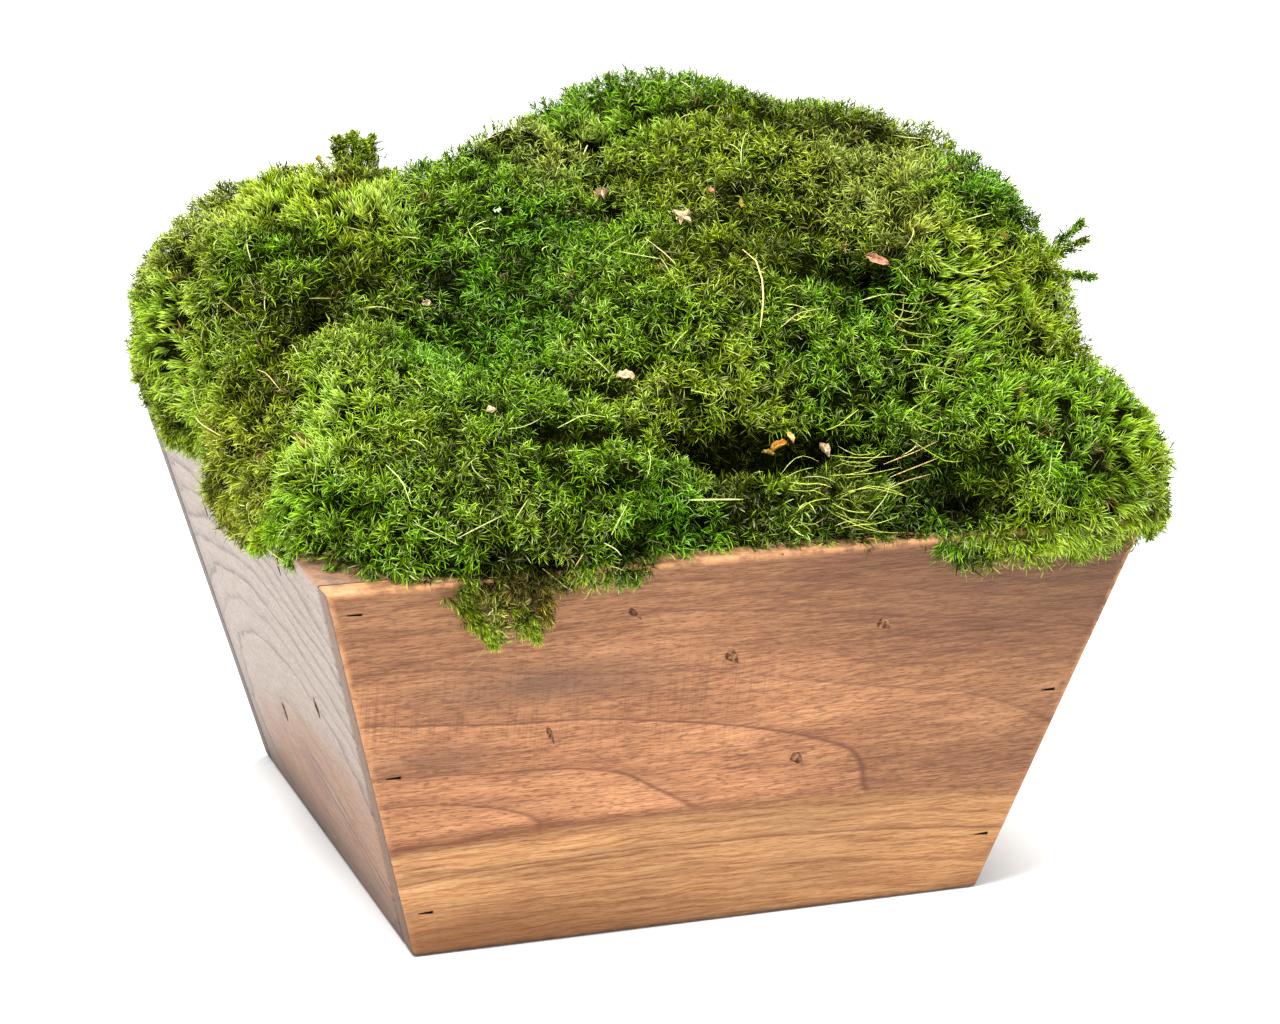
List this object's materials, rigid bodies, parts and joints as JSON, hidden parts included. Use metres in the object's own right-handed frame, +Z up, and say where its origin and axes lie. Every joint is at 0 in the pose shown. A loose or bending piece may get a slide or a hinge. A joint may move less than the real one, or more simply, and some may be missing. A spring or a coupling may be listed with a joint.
{
  "type": "moss clump in a square wooden planter",
  "caption": "Cushions of green moss heaped on soil in a square wooden planter that widens upwards, standing on its flat underside.",
  "frame": {"origin": "middle of the planter's flat underside", "axes": "+Z up, the front board faces -Y, the left board faces -X"},
  "size_m": [0.2687, 0.2433, 0.214],
  "materials": {
    "brown_wood": "satin",
    "worn_wood": "matte",
    "dark_steel": "satin",
    "soil": "matte",
    "moss_yellow_green": "matte",
    "moss_olive": "matte",
    "moss_leaf_green": "matte",
    "moss_deep_green": "matte"
  },
  "bodies": {
    "root": {"board_front": "brown_wood", "board_back": "brown_wood", "board_left": "worn_wood", "board_right": "worn_wood", "board_base": "brown_wood", "brad_front_left_1": "dark_steel", "brad_front_left_2": "dark_steel", "brad_front_left_3": "dark_steel", "brad_front_right_1": "dark_steel", "brad_front_right_2": "dark_steel", "brad_front_right_3": "dark_steel", "brad_back_left_1": "dark_steel", "brad_back_left_2": "dark_steel", "brad_back_left_3": "dark_steel", "brad_back_right_1": "dark_steel", "brad_back_right_2": "dark_steel", "brad_back_right_3": "dark_steel", "soil": "soil", "clump_left_back": "moss_yellow_green", "clump_left_middle": "moss_olive", "clump_shoulder": "moss_deep_green", "clump_back": "moss_deep_green", "clump_crown": "moss_olive", "clump_right_back": "moss_leaf_green", "clump_right": "moss_yellow_green", "clump_right_front": "moss_yellow_green", "clump_middle": "moss_leaf_green", "clump_front_left": "moss_leaf_green", "clump_front_middle": "moss_deep_green"}
  },
  "joints": []
}
